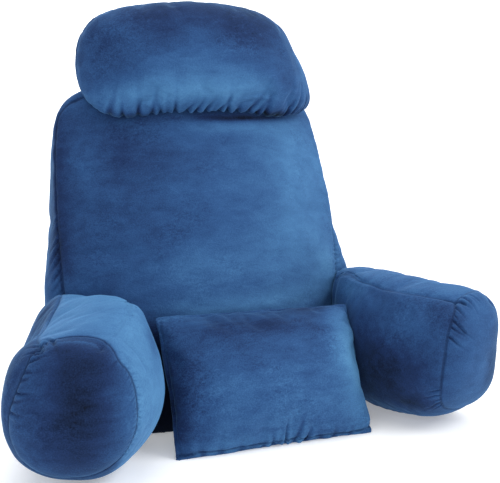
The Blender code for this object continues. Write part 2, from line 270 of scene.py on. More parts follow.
def velour(name, mottle):
    """A pile cloth: its colour follows the nap and the painted light and shade that its cover carries, its
    seams get painted shade, and a blue-white sheen stands along its edges.
    """
    material = bpy.data.materials.new(name)
    material.use_nodes = True
    tree = material.node_tree
    shader = tree.nodes["Principled BSDF"]
    nap = tree.nodes.new("ShaderNodeGroup")
    nap.node_tree = NAP_AND_SHADE
    nap.inputs["Mottle"].default_value = mottle
    for attribute, socket in (("lay_and_shading", "Lay and Shading"), ("seam_shade", "Seam")):
        read = tree.nodes.new("ShaderNodeAttribute")
        read.attribute_name = attribute
        tree.links.new(read.outputs["Fac"], nap.inputs[socket])
    bump = tree.nodes.new("ShaderNodeBump")
    for socket, value in PILE_BUMP.items():
        bump.inputs[socket].default_value = value
    tree.links.new(nap.outputs["Height"], bump.inputs["Height"])
    tree.links.new(nap.outputs["Color"], shader.inputs["Base Color"])
    tree.links.new(nap.outputs["Roughness"], shader.inputs["Roughness"])
    tree.links.new(bump.outputs["Normal"], shader.inputs["Normal"])
    for socket, value in PILE_SHINE.items():
        shader.inputs[socket].default_value = value
    return material


# %% [markdown]
# ## Threads
# A seam is a line of thread that lies on the cover. Each one is a short table of points in metres,
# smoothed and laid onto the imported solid, so that it can be measured: how far a point of the cloth
# is from the thread, where along the thread that is, and on which side.

# %% Thread tools
THREAD_STEP = 0.0015
THREAD_NEARS = 0.13
FAR_OFF = 9.0
TINY = 1e-9


def coords(piece):
    flat = np.empty(len(piece.data.vertices) * 3)
    piece.data.vertices.foreach_get("co", flat)
    return flat.reshape(-1, 3)


def put(piece, places):
    piece.data.vertices.foreach_set("co", places.ravel())
    piece.data.update()


def outward(piece):
    flat = np.empty(len(piece.data.vertices) * 3)
    piece.data.vertex_normals.foreach_get("vector", flat)
    return flat.reshape(-1, 3)


def skin_tree(piece):
    return BVHTree.FromPolygons(
        [v.co for v in piece.data.vertices], [list(p.vertices) for p in piece.data.polygons])


def thread(points, closed, onto, shade=1.0):
    """Smooths a table of points into a line with a sample each 1.5 mm, laid on a surface."""
    rows = [Vector(p) for p in points]
    count = len(rows)
    line = []
    for i in range(count if closed else count - 1):
        if closed:
            a, b, c, d = (rows[(i + k) % count] for k in (-1, 0, 1, 2))
        else:
            a, b, c, d = (rows[min(max(i + k, 0), count - 1)] for k in (-1, 0, 1, 2))
        steps = max(2, int((c - b).length / THREAD_STEP))
        for n in range(steps):
            t = n / steps
            line.append(0.5 * ((2 * b) + (c - a) * t + (2 * a - 5 * b + 4 * c - d) * t ** 2
                               + (3 * b - a - 3 * c + d) * t ** 3))
    if not closed:
        line.append(rows[-1])
    line = [onto.find_nearest(p)[0] for p in line]
    spots = np.array([list(p) for p in line])
    ahead = np.roll(spots, -1, 0) - spots
    if not closed:
        ahead[-1] = ahead[-2]
    steps = np.linalg.norm(ahead, axis=1)
    tree = KDTree(len(line))
    for i, p in enumerate(line):
        tree.insert(p, i)
    tree.balance()
    run = np.concatenate([[0], np.cumsum(steps)[:-1]])
    tangent = ahead / np.maximum(steps, TINY)[:, None]
    return {"spots": spots, "run": run, "length": float(run[-1] + steps[-1] * closed),
            "tangent": tangent, "tree": tree, "closed": closed, "shade": shade}


def nearest_samples(line, places):
    """The nearest sample of a thread to each point and how far it is, kept for the next question."""
    if line.get("asked") is not places:
        low, high = line["spots"].min(0) - THREAD_NEARS, line["spots"].max(0) + THREAD_NEARS
        close = np.nonzero(((places > low) & (places < high)).all(1))[0]
        sample, far = np.zeros(len(places), int), np.full(len(places), FAR_OFF)
        for i, p in zip(close.tolist(), places[close].tolist()):
            _, sample[i], far[i] = line["tree"].find(p)
        line["asked"], line["sample"], line["far"] = places, sample, far
    return line["sample"], line["far"]


def near_thread(line, places, normals, reach, depth=0.012):
    """Which points lie beside a thread, how far along it, and how far to its left, or right below 0."""
    sample, far = nearest_samples(line, places)
    index = np.nonzero(far < reach + depth)[0]
    sample = sample[index]
    offset = places[index] - line["spots"][sample]
    forward = line["tangent"][sample]
    left = np.cross(normals[index], forward)
    left /= np.maximum(np.linalg.norm(left, axis=1), 1e-6)[:, None]
    along = line["run"][sample] + (offset * forward).sum(1)
    across = (offset * left).sum(1)
    near = np.abs(across) < reach
    return index[near], along[near], across[near]


# %% [markdown]
# ## Cutting and filling a cover
# A stuffed piece gets its look from the filling that pushes the cloth out between its seams. The
# copy of the solid is welded, drawn in a little, and remeshed into even squares. The squares on the
# threads, on the floor and against a neighbour are held, and the rest is blown up with pressure, a
# bit of spare cloth added, so that it puffs and puckers along its threads by itself. A cloth
# simulation under pressure gives the round shapes and soft puckers that a moved mesh doesn't have,
# and a last softening takes out the steps of its squares.

# %% Cutting and filling
COVERS = {
    # metres: how far a cover is drawn in, its squares, and the furthest that its filling moves a point.
    # Then the pressure, the share of spare cloth, and how full the piece is.
    # The lumps of its filling, coarse and fine: height and size in metres, and seed.
    "backrest": {
        "slack": 0.004, "square": 0.0072, "most": 0.014, "pressure": 4.0, "spare": 0.01, "full": 0.85,
        "lumps": ((0.0020, 0.11, 1), (0.0008, 0.035, 2))},
    "arm_left": {
        "slack": 0.003, "square": 0.0045, "most": 0.012, "pressure": 4.0, "spare": 0.02, "full": 0.9,
        "lumps": ((0.0018, 0.08, 3), (0.0006, 0.03, 4))},
    "arm_right": {
        "slack": 0.003, "square": 0.0045, "most": 0.012, "pressure": 4.0, "spare": 0.02, "full": 0.9,
        "lumps": ((0.0018, 0.08, 5), (0.0006, 0.03, 6))},
    "head_pillow": {
        "slack": 0.003, "square": 0.004, "most": 0.010, "pressure": 4.0, "spare": 0.02, "full": 0.8,
        "lumps": ((0.0016, 0.07, 7), (0.0006, 0.028, 8))},
    "lumbar_pillow": {
        "slack": 0.0, "square": 0.004, "most": 0.006, "pressure": 3.0, "spare": 0.02, "full": 0.75,
        "lumps": ((0.0016, 0.07, 9), (0.0006, 0.028, 10))},
}
WELD = 0.00002
SEW_REACH, SEW_WELD, SEW_SLIVER = 0.52, 0.3, 0.05   # in squares
FLOOR_SEW = 0.0015
FLOOR_HOLD = 0.0002
THREAD_HOLD = 0.0012
NEIGHBOUR_HOLD = 0.006
SEAM_REACH = 0.006
FILLING_STEPS = 20
CLOTH = {"quality": 4, "use_pressure": True, "tension_stiffness": 15, "compression_stiffness": 15,
         "bending_stiffness": 0.6, "vertex_group_mass": "held"}


def only(piece):
    bpy.ops.object.select_all(action="DESELECT")
    piece.select_set(True)
    bpy.context.view_layer.objects.active = piece


def soften(piece, group, times):
    """Draws each point of a group half-way to the middle of its neighbours, a few times over."""
    smooth = piece.modifiers.new("soften", "SMOOTH")
    smooth.factor = 0.5
    smooth.iterations = times
    smooth.vertex_group = group
    bpy.ops.object.modifier_apply(modifier=smooth.name)


def cut_cover(node, slack, square):
    """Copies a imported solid, welds it, draws it in and remeshes it in even squares."""
    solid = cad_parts[node]
    piece = solid.copy()
    piece.data = solid.data.copy()
    for key in list(piece.keys()):
        del piece[key]
    piece.parent = None
    piece.name = node + "_cover"
    piece.data.name = node + "_cover"
    piece.data.materials.clear()
    bpy.context.scene.collection.objects.link(piece)
    only(piece)
    bpy.ops.object.mode_set(mode="EDIT")
    bpy.ops.mesh.select_all(action="SELECT")
    bpy.ops.mesh.remove_doubles(threshold=WELD)
    bpy.ops.mesh.normals_make_consistent(inside=False)
    bpy.ops.transform.shrink_fatten(value=-slack)
    bpy.ops.object.mode_set(mode="OBJECT")
    evener = piece.modifiers.new("even_squares", "REMESH")
    evener.mode = "VOXEL"
    evener.voxel_size = square
    bpy.ops.object.modifier_apply(modifier=evener.name)
    print(node, "cover squares", len(piece.data.polygons))
    return piece


def sew_down(piece, threads, square, slack):
    """Brings the squares that lie on a thread onto it, and welds those that land together."""
    places, normals = coords(piece), outward(piece)
    for line in threads:
        for i in near_thread(line, places.copy(), normals, square * SEW_REACH, slack + square)[0]:
            spot, sample, _ = line["tree"].find(places[i])
            forward = Vector(line["tangent"][sample])
            places[i] = spot + forward * (Vector(places[i]) - spot).dot(forward)
    places[places[:, 2] < slack + FLOOR_SEW, 2] = 0
    put(piece, places)
    only(piece)
    bpy.ops.object.mode_set(mode="EDIT")
    bpy.ops.mesh.select_all(action="SELECT")
    bpy.ops.mesh.remove_doubles(threshold=square * SEW_WELD)
    bpy.ops.mesh.dissolve_degenerate(threshold=square * SEW_SLIVER)
    bpy.ops.object.mode_set(mode="OBJECT")


def hold(piece, threads, neighbours, square, slack):
    """Marks all that the filling must not move: threads, floor and what lies on a neighbour."""
    sew_down(piece, threads, square, slack)
    places = coords(piece)
    held = places[:, 2] < FLOOR_HOLD
    for line in threads:
        held |= np.array([line["tree"].find(p)[2] < THREAD_HOLD for p in places])
    for other in neighbours:
        held |= np.array([other.find_nearest(p, NEIGHBOUR_HOLD + slack)[0] is not None for p in places])
    piece.vertex_groups.new(name="held").add([int(i) for i in np.nonzero(held)[0]], 1.0, "REPLACE")
    piece.vertex_groups.new(name="loose").add([int(i) for i in np.nonzero(~held)[0]], 1.0, "REPLACE")
    soften(piece, "loose", 3)
    smallest = min(face.area for face in piece.data.polygons) * 1e6
    print(piece.name, "held", int(held.sum()), "of", len(held), "smallest square", round(smallest, 3), "mm2")


def fill(piece, pressure, spare, most):
    """Blows the cover up between its held lines, and lets no point move further than most."""
    before = coords(piece)
    only(piece)
    cloth = piece.modifiers.new("filling", "CLOTH")
    for setting, value in CLOTH.items():
        setattr(cloth.settings, setting, value)
    cloth.settings.uniform_pressure_force = pressure
    cloth.settings.shrink_min = -spare
    cloth.settings.effector_weights.gravity = 0
    cloth.point_cache.frame_start = 1
    cloth.point_cache.frame_end = FILLING_STEPS
    for step in range(1, FILLING_STEPS + 1):
        bpy.context.scene.frame_set(step)
    bpy.ops.object.modifier_apply(modifier=cloth.name)
    move = coords(piece) - before
    far = np.linalg.norm(move, axis=1)
    put(piece, before + move * np.minimum(1, most / np.maximum(far, TINY))[:, None])
    soften(piece, "loose", 3)
    print(piece.name, "moved mm: most", round(far.max() * 1000, 1), "mean", round(far.mean() * 1000, 1))


def refine(piece, threads):
    """Smooths the squares once, then splits those along a thread again, for crisp seams."""
    only(piece)
    finer = piece.modifiers.new("finer", "SUBSURF")
    finer.levels = finer.render_levels = 1
    bpy.ops.object.modifier_apply(modifier=finer.name)
    places, normals = coords(piece), outward(piece)
    close = np.zeros(len(places), bool)
    for line in threads:
        close[near_thread(line, places, normals, SEAM_REACH)[0]] = True
    bpy.ops.object.mode_set(mode="EDIT")
    bpy.ops.mesh.select_mode(type="VERT")
    bpy.ops.mesh.select_all(action="DESELECT")
    bpy.ops.object.mode_set(mode="OBJECT")
    piece.data.vertices.foreach_set("select", close)
    bpy.ops.object.mode_set(mode="EDIT")
    bpy.ops.mesh.select_mode(type="FACE")
    bpy.ops.mesh.subdivide(number_cuts=1)
    bpy.ops.object.mode_set(mode="OBJECT")


def stuff(node, threads, neighbours):
    """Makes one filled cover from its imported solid."""
    cut = COVERS[node]
    piece = cut_cover(node, cut["slack"], cut["square"])
    hold(piece, threads, neighbours, cut["square"], cut["slack"])
    fill(piece, cut["pressure"], cut["spare"], cut["most"])
    refine(piece, threads)
    return piece


# %% [markdown]
# ## Working the cloth
# These are the small moves a sewer's hand leaves. A groove sinks the thread, a fold is a low ridge
# that starts at the thread and dies out, a set of them is a gather, and lumps make the filling
# uneven. A swell moves a broad patch to where the real piece is fuller or flatter, and a lip is
# pressed out beside an edge seam. Each tool adds to one shift along the outward directions.

# %% Cloth tools
FOLD_START = 0.0030
NEIGHBOUR_SEARCH = 0.03
NEIGHBOUR_CLEAR = 0.0006
JOINT_SNUG = 0.013
JOINT_EVEN = 1.3
CAP_REACH = 0.014
SEAM_SHADE = 0.0014
EXP_LIMIT = 30


def patch(places, at, reach):
    """1 at the middle of a broad patch, dying out over its reach."""
    far = np.linalg.norm((places - np.array(at)) / np.array(reach), axis=1)
    return np.exp(-far ** 2)


def groove(shift, line, places, normals, depth, width, pulls=()):
    """Sinks a thread into the cloth. A pull sinks it deeper and wider near a place."""
    index, _, across = near_thread(line, places, normals, width * 4)
    shift[index] -= depth * np.exp(-(across / width) ** 2)
    for at, reach, deeper in pulls:
        shift[index] -= deeper * patch(places[index], at, reach) * np.exp(-(across / (width * 1.5)) ** 2)


def run_at(line, point):
    return float(line["run"][line["tree"].find(point)[1]])


def side_of(line, point, onto):
    """1 if a place lies to the left of a thread, and -1 if to its right."""
    spot, normal, _, _ = onto.find_nearest(point)
    start, sample, _ = line["tree"].find(spot)
    return 1 if (spot - start).dot(normal.cross(Vector(line["tangent"][sample]))) > 0 else -1


def gather(line, start, end, spacing, length, height, side, seed, lean):
    """A row of uneven folds across a thread, from one place on it to another."""
    pick = np.random.default_rng(seed)
    first, last = run_at(line, start), run_at(line, end)
    span = last - first
    if line["closed"] and abs(span) > line["length"] / 2:
        span -= math.copysign(line["length"], span)
    if span < 0:
        first, span = first + span, -span
    rows = []
    step = spacing * 0.5
    while step < span:
        rows.append({
            "at": first + step, "side": side, "width": spacing * pick.uniform(0.30, 0.50),
            "length": length * pick.uniform(0.55, 1.35), "height": height * pick.uniform(0.5, 1.25),
            "tilt": lean + pick.uniform(-0.3, 0.3)})
        step += spacing * pick.uniform(0.75, 1.3)
    return rows


def fold(shift, marks, line, places, normals, rows):
    """Creases across a thread with a puff on both sides, and crease marks that become painted shade in the
    creases and painted highlight on the puffs. side 0 means both sides of the thread.
    """
    reach = max(row["length"] for row in rows) * 2
    index, along, across = near_thread(line, places, normals, reach)
    for row in rows:
        off = along - row["at"] - row["tilt"] * np.abs(across)
        if line["closed"]:
            off = (off + line["length"] / 2) % line["length"] - line["length"] / 2
        x = np.abs(off / row["width"])
        crease = 0.55 * np.exp(-((x - 0.8) / 0.55) ** 2) - np.exp(-(2.0 * x) ** 2)
        fade = np.exp(-(across / row["length"]) ** 2) * (1 - np.exp(-(across / FOLD_START) ** 2))
        if row["side"]:
            fade = fade * (across * row["side"] > 0)
        shift[index] += row["height"] * crease * fade
        marks[index] += crease * fade


def lumps(places, size, seed):
    """Smooth noise between -1 and 1, with lumps of a given size in metres."""
    shift = Vector((seed * 7.31, seed * 3.17, seed * 5.03))
    return np.array([noise.noise(Vector(p) / size + shift) for p in places])


def gather_rows(shift, marks, line, places, normals, rows, front):
    """Folds every gather of a thread. front is which side of the thread a row's side 1 means."""
    for start, end, spacing, length, height, side, seed, lean in rows:
        folds = gather(line, start, end, spacing, length, height, side * front, seed, lean)
        fold(shift, marks, line, places, normals, folds)


def swell(shift, places, rows):
    """Fills a broad patch a bit more, or less where the height is below zero."""
    for at, reach, height in rows:
        shift += height * patch(places, at, reach)


def lip(shift, line, places, normals, inset, depth, width):
    """Presses the cloth beside an edge seam, so that the edge stands out as a thin lip."""
    index, _, across = near_thread(line, places, normals, inset + width * 4)
    shift[index] -= depth * np.exp(-((np.abs(across) - inset) / width) ** 2)


def beside(places, line, soft):
    """1 on the outer side, towards -X, of a long thread and 0 on its other side."""
    sample, _ = nearest_samples(line, places)
    off = (places[:, 0] - line["spots"][sample, 0]) / soft
    return 1 / (1 + np.exp(np.clip(off, -EXP_LIMIT, EXP_LIMIT)))


def past(places, normals, line, side, soft):
    """0 behind a round thread and 1 in front of it. Far from the thread, its flat decides."""
    centre = line["spots"].mean(0)
    forward = np.linalg.svd(line["spots"] - centre, full_matrices=False)[2][2]
    forward = forward * -np.sign(forward[1])
    front = (places - centre) @ forward
    index, _, across = near_thread(line, places, normals, CAP_REACH)
    front[index] = across * side
    return 1 / (1 + np.exp(-np.clip(front / soft, -EXP_LIMIT, EXP_LIMIT)))


def even_joint(piece, neighbours, reach):
    """Evens out the steps of the squares where a piece is sewn to its neighbour."""
    touching = [i for i, p in enumerate(coords(piece))
                if any(other.find_nearest(p, reach)[0] is not None for other in neighbours)]
    piece.vertex_groups.new(name="joint").add(touching, 1.0, "REPLACE")
    only(piece)
    soften(piece, "joint", 20)
    print(piece.name, "evened out", len(touching), "points at its joint")


def settle(piece, neighbours, snug=0.0):
    """Lifts a cover off its neighbours and the floor, and draws a sewn edge up to its neighbour."""
    if snug:
        even_joint(piece, neighbours, snug * JOINT_EVEN)
    places = coords(piece)
    for other in neighbours:
        for i, p in enumerate(places):
            spot, normal, _, far = other.find_nearest(p, NEIGHBOUR_SEARCH)
            if spot is None:
                continue
            out = (Vector(p) - spot).dot(normal)
            if out < NEIGHBOUR_CLEAR:
                places[i] = spot + normal * NEIGHBOUR_CLEAR
            elif far < snug:
                places[i] += np.array(normal) * (NEIGHBOUR_CLEAR - out) * (1 - (out / snug) ** 2)
    places[:, 2] = np.maximum(places[:, 2], 0)
    put(piece, places)


def start_work(piece, node):
    """A cover's points, their outward directions, a first shift from its lumps, and empty crease marks for
    the painted fold shading.
    """
    places, normals = coords(piece), outward(piece)
    shift = sum(height * lumps(places, size, seed) for height, size, seed in COVERS[node]["lumps"])
    return places, normals, shift, np.zeros(len(places))


def end_work(piece, places, normals, shift, neighbours, snug=0.0):
    """Moves a cover by all that the tools added up, and settles it on its neighbours."""
    put(piece, places + normals * shift[:, None])
    settle(piece, neighbours, snug)
    print(piece.name, "worked by mm", round(shift.min() * 1000, 1), "to", round(shift.max() * 1000, 1))


def keep(piece, name, values):
    layer = piece.data.attributes.new(name, "FLOAT", "POINT")
    layer.data.foreach_set("value", np.ascontiguousarray(values, dtype=np.float32))


def nap_and_shade_patches(places, usual, rows):
    """The lay of the nap with painted light and shade: a usual value with broad patches over it, some of
    stroked nap and some of painted shadow and highlight.
    """
    lay_and_shading = np.full(len(places), usual, float)
    for at, reach, change in rows:
        lay_and_shading += change * patch(places, at, reach)
    return lay_and_shading


def dress(piece, node, threads, lay_and_shading, mottle=1.0):
    """Gives a worked cover its painted seam shade, its nap with painted light and shade, and its place in
    the model.
    """
    places, normals = coords(piece), outward(piece)
    # painted shade along each seam groove, as strong as its thread's shade
    seam_shade = np.zeros(len(places))
    for line in threads:
        index, _, across = near_thread(line, places, normals, SEAM_REACH)
        seam_shade[index] = np.maximum(seam_shade[index], line["shade"] * np.exp(-(across / SEAM_SHADE) ** 2))
    keep(piece, "seam_shade", seam_shade)
    # the lay of the nap, with painted shadows, highlights and lit or shaded sides in it
    keep(piece, "lay_and_shading", lay_and_shading)
    piece.data.materials.append(velour(node + "_velour", mottle))
    only(piece)
    bpy.ops.object.shade_smooth()
    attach(piece, "root")
    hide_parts(node)
    box = np.round(np.array([places.min(0), places.max(0)]) * 1000, 1)
    print(piece.name, "faces", len(piece.data.polygons), "box mm", *box)


# %% [markdown]
# ## Backrest
# Two shaped panels with a gusset between them. Its filling crowns the front panel, and the gusset
# puckers where the cover was pulled round the curve of its flank. It is cut in one piece here and
# the two seams are threads round the panels.

# %% Backrest threads
BACKREST_FRONT = (
    (-0.002, -0.032, 0.000), (0.086, -0.025, 0.000), (0.173, -0.002, 0.000), (0.223, 0.019, 0.001),
    (0.233, 0.025, 0.012), (0.232, 0.030, 0.040), (0.230, 0.048, 0.120), (0.234, 0.070, 0.200),
    (0.238, 0.093, 0.317), (0.227, 0.114, 0.416), (0.218, 0.127, 0.478), (0.206, 0.129, 0.502),
    (0.186, 0.124, 0.519), (0.160, 0.114, 0.525), (0.073, 0.088, 0.525), (-0.014, 0.079, 0.525),
    (-0.100, 0.088, 0.525), (-0.187, 0.114, 0.525), (-0.213, 0.124, 0.519), (-0.234, 0.129, 0.502),
    (-0.245, 0.127, 0.478), (-0.254, 0.114, 0.416), (-0.258, 0.093, 0.317), (-0.256, 0.072, 0.219),
    (-0.252, 0.051, 0.120), (-0.242, 0.030, 0.030), (-0.237, 0.025, 0.009), (-0.226, 0.019, 0.001),
    (-0.176, -0.002, 0.000), (-0.089, -0.025, 0.000),
)
BACKREST_BACK = (
    (-0.002, 0.216, 0.000), (0.086, 0.216, 0.000), (0.173, 0.216, 0.000), (0.223, 0.216, 0.001),
    (0.234, 0.216, 0.009), (0.238, 0.217, 0.022), (0.236, 0.226, 0.120), (0.223, 0.226, 0.219),
    (0.207, 0.224, 0.317), (0.195, 0.223, 0.416), (0.186, 0.220, 0.478), (0.174, 0.218, 0.502),
    (0.153, 0.218, 0.519), (0.127, 0.217, 0.525), (0.057, 0.217, 0.525), (-0.014, 0.217, 0.525),
    (-0.084, 0.217, 0.525), (-0.155, 0.217, 0.525), (-0.181, 0.218, 0.519), (-0.202, 0.218, 0.502),
    (-0.213, 0.220, 0.478), (-0.222, 0.223, 0.416), (-0.226, 0.224, 0.317), (-0.230, 0.226, 0.219),
    (-0.239, 0.226, 0.120), (-0.241, 0.217, 0.022), (-0.237, 0.216, 0.009), (-0.226, 0.216, 0.001),
    (-0.176, 0.216, 0.000), (-0.089, 0.216, 0.000),
)

solids = {name: skin_tree(node) for name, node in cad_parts.items()}
backrest_front = thread(BACKREST_FRONT, True, solids["backrest"])
backrest_back = thread(BACKREST_BACK, True, solids["backrest"])
print("seams in metres", [round(line["length"], 3) for line in (backrest_front, backrest_back)])

# %% Backrest cover
BACKREST_SWELLS = [
    # centre, reach and height of each patch that is fuller than the plain cushion
    ((0.27, 0.15, 0.36), (0.06, 0.12, 0.22), 0.0120),
    ((-0.28, 0.13, 0.25), (0.04, 0.12, 0.13), -0.0040),
    ((-0.14, -0.03, 0.01), (0.07, 0.04, 0.03), 0.013),
    ((-0.235, 0.13, 0.505), (0.03, 0.07, 0.03), 0.0030),
]
BACKREST_GROOVE = {"depth": 0.0028, "width": 0.0035}
BACKREST_FLANK = (-0.27, 0.13, 0.25)
BACKREST_GATHERS = [
    # from, to, spacing, length, height, side (1 the gusset, -1 the panel, 0 both), seed and lean
    ((-0.257, 0.10, 0.34), (-0.252, 0.055, 0.14), 0.017, 0.020, 0.0034, 1, 11, 0.8),
    ((0.236, 0.082, 0.26), (0.234, 0.065, 0.19), 0.010, 0.012, 0.0024, 0, 12, 0.3),
]

backrest_threads = [backrest_front, backrest_back]
backrest = stuff("backrest", backrest_threads, [])
places, normals, shift, marks = start_work(backrest, "backrest")
for line in backrest_threads:
    groove(shift, line, places, normals, **BACKREST_GROOVE)
flank = side_of(backrest_front, BACKREST_FLANK, solids["backrest"])
gather_rows(shift, marks, backrest_front, places, normals, BACKREST_GATHERS, flank)
swell(shift, places, BACKREST_SWELLS)
end_work(backrest, places, normals, shift, [])
backrest_skin = skin_tree(backrest)

# %% Backrest nap and painted shading
BACKREST_LAY = 0.46
# how much the crease marks of the gathers paint shade into their hollows and highlight onto their ridges
BACKREST_FOLD_SHADING = 0.15
BACKREST_NAP_AND_SHADE_PATCHES = [
    # centre, reach and change of lay of each broad patch: stroked nap, painted light and painted shade
    # painted light on the right side, which faces the key light
    ((0.17, 0.06, 0.35), (0.10, 0.20, 0.20), 0.30),
    ((-0.20, 0.07, 0.30), (0.09, 0.20, 0.14), -0.03),
    ((-0.145, 0.06, 0.425), (0.050, 0.10, 0.065), -0.17),
    # painted shade on the left flank, which faces away from the key light
    ((-0.252, 0.12, 0.43), (0.026, 0.09, 0.11), -0.30),
    ((-0.215, 0.11, 0.470), (0.025, 0.08, 0.03), -0.14),
    # painted shadow under the head pillow
    ((0.06, 0.07, 0.489), (0.08, 0.06, 0.0040), -0.36),
    ((-0.255, 0.08, 0.285), (0.016, 0.06, 0.05), -0.22),
    ((0.00, 0.00, 0.27), (0.10, 0.12, 0.06), 0.10),
    # painted light on the backrest just above the lumbar pillow
    ((0.05, -0.02, 0.194), (0.16, 0.08, 0.016), 0.26),
    ((0.21, 0.05, 0.23), (0.04, 0.05, 0.03), 0.20),
    ((-0.215, 0.09, 0.44), (0.05, 0.20, 0.07), 0.11),
    # painted shadow under the head pillow
    ((0.06, 0.06, 0.492), (0.13, 0.06, 0.012), -0.22),
    ((0.02, 0.055, 0.474), (0.08, 0.06, 0.012), 0.24),
    ((0.13, 0.06, 0.44), (0.08, 0.08, 0.05), 0.09),
    # painted shadow in the gap between the left arm and the lumbar pillow
    ((-0.145, 0.00, 0.13), (0.045, 0.06, 0.045), -0.42),
    ((-0.06, 0.0, 0.25), (0.10, 0.10, 0.03), 0.06),
    # painted shadow in the gap between the left arm and the lumbar pillow, darkest low down
    ((-0.14, -0.03, 0.04), (0.12, 0.10, 0.07), -0.62),
]

lay_and_shading = nap_and_shade_patches(coords(backrest), BACKREST_LAY, BACKREST_NAP_AND_SHADE_PATCHES) + BACKREST_FOLD_SHADING * marks
dress(backrest, "backrest", backrest_threads, lay_and_shading)

# %% [markdown]
# ## Arms
# Each bolster is one bag of four long panels with a round-cornered cap. The cap's thread runs
# round the end and the two upper long threads meet it at its corners, where the cloth bunches.
# Both arms are sewn the same way, so one function does it, and the tables hold what differs.

# %% Arm threads
LEFT_CAP = (
    (-0.391, -0.182, 0.114), (-0.389, -0.189, 0.134), (-0.384, -0.196, 0.153), (-0.372, -0.199, 0.181),
    (-0.363, -0.193, 0.196), (-0.346, -0.182, 0.208), (-0.325, -0.189, 0.216), (-0.301, -0.197, 0.218),
    (-0.277, -0.209, 0.214), (-0.266, -0.226, 0.205), (-0.261, -0.242, 0.191), (-0.250, -0.245, 0.176),
    (-0.243, -0.247, 0.157), (-0.239, -0.246, 0.131), (-0.238, -0.243, 0.104), (-0.242, -0.239, 0.083),
    (-0.249, -0.232, 0.064), (-0.261, -0.225, 0.049), (-0.275, -0.216, 0.037), (-0.292, -0.206, 0.030),
    (-0.313, -0.195, 0.028), (-0.333, -0.187, 0.030), (-0.351, -0.181, 0.037), (-0.366, -0.178, 0.049),
    (-0.378, -0.176, 0.064), (-0.386, -0.176, 0.083), (-0.390, -0.178, 0.100),
)
RIGHT_CAP = (
    (0.396, -0.174, 0.121), (0.394, -0.177, 0.141), (0.389, -0.182, 0.161), (0.378, -0.188, 0.179),
    (0.365, -0.193, 0.195), (0.347, -0.197, 0.206), (0.328, -0.203, 0.214), (0.306, -0.211, 0.215),
    (0.283, -0.220, 0.212), (0.270, -0.233, 0.202), (0.259, -0.241, 0.189), (0.251, -0.245, 0.174),
    (0.246, -0.247, 0.155), (0.244, -0.246, 0.131), (0.243, -0.243, 0.106), (0.245, -0.239, 0.086),
    (0.250, -0.232, 0.067), (0.259, -0.223, 0.051), (0.273, -0.214, 0.039), (0.291, -0.206, 0.032),
    (0.311, -0.196, 0.029), (0.332, -0.189, 0.033), (0.351, -0.182, 0.040), (0.367, -0.178, 0.051),
    (0.380, -0.174, 0.066), (0.389, -0.173, 0.085), (0.395, -0.173, 0.105),
)
LEFT_INNER_TOP = (
    (-0.226, 0.042, 0.207), (-0.212, -0.011, 0.213), (-0.203, -0.086, 0.215), (-0.231, -0.161, 0.214),
    (-0.259, -0.204, 0.211), (-0.270, -0.218, 0.210),
)
LEFT_OUTER_TOP = (
    (-0.257, 0.080, 0.210), (-0.265, 0.040, 0.217), (-0.276, 0.006, 0.221), (-0.291, -0.027, 0.219),
    (-0.305, -0.052, 0.214), (-0.316, -0.070, 0.208), (-0.328, -0.094, 0.204), (-0.341, -0.135, 0.204),
    (-0.350, -0.179, 0.206),
)
RIGHT_INNER_TOP = (
    (0.228, 0.073, 0.194), (0.234, 0.023, 0.209), (0.222, -0.045, 0.213), (0.227, -0.127, 0.214),
    (0.251, -0.180, 0.214), (0.272, -0.211, 0.212), (0.280, -0.220, 0.211),
)
RIGHT_OUTER_TOP = (
    (0.250, 0.106, 0.203), (0.279, 0.047, 0.216), (0.294, -0.012, 0.217), (0.306, -0.076, 0.215),
    (0.322, -0.123, 0.213), (0.338, -0.163, 0.209), (0.350, -0.195, 0.205),
)
ARM_GROOVE = {"depth": 0.0024, "width": 0.003}
# how much the crease marks of the arms' gathers paint shade into their hollows and highlight onto their
# ridges
ARM_FOLD_SHADING = 0.18
CAP_SOFT = 0.0025
PANEL_SOFT = 0.003


def sew_arm(node, threads, cap_front, pulls, gathers, swells):
    """Fills and works a bolster. Gives back its cover, its crease marks for the painted fold shading and the
    cap's side of its thread.
    """
    arm = stuff(node, threads, [backrest_skin])
    places, normals, shift, marks = start_work(arm, node)
    for line in threads:
        groove(shift, line, places, normals, **ARM_GROOVE, pulls=pulls)
    cap = threads[0]
    cap_side = side_of(cap, cap_front, solids[node])
    gather_rows(shift, marks, cap, places, normals, gathers, cap_side)
    swell(shift, places, swells)
    end_work(arm, places, normals, shift, [backrest_skin], JOINT_SNUG)
    return arm, marks, cap_side


# %% Left arm
LEFT_PULLS = [
    ((-0.348, -0.182, 0.208), 0.025, 0.0040),
    ((-0.300, -0.045, 0.216), 0.060, 0.0035),
]
LEFT_SWELLS = [
    ((-0.37, -0.20, 0.045), (0.06, 0.09, 0.05), 0.0075),
    ((-0.215, -0.20, 0.05), (0.04, 0.08, 0.05), -0.006),
    ((-0.350, -0.03, 0.19), (0.04, 0.06, 0.05), -0.011),
    ((-0.385, -0.135, 0.188), (0.04, 0.050, 0.031), 0.010),
    ((-0.222, -0.10, 0.218), (0.055, 0.10, 0.05), 0.0135),
    ((-0.200, -0.112, 0.213), (0.035, 0.06, 0.022), 0.0085),
]
LEFT_GATHERS = [
    ((-0.352, -0.182, 0.206), (-0.390, -0.185, 0.118), 0.0135, 0.017, 0.0032, 1, 21, 0.6),
    ((-0.322, -0.190, 0.217), (-0.350, -0.181, 0.207), 0.012, 0.018, 0.0034, 1, 22, 0.5),
    ((-0.335, -0.184, 0.212), (-0.360, -0.192, 0.198), 0.012, 0.014, 0.0034, -1, 24, -0.4),
    ((-0.262, -0.238, 0.196), (-0.254, -0.228, 0.056), 0.008, 0.009, 0.0013, 0, 23, 0.4),
]

LEFT_CAP_FRONT = (-0.32, -0.24, 0.13)

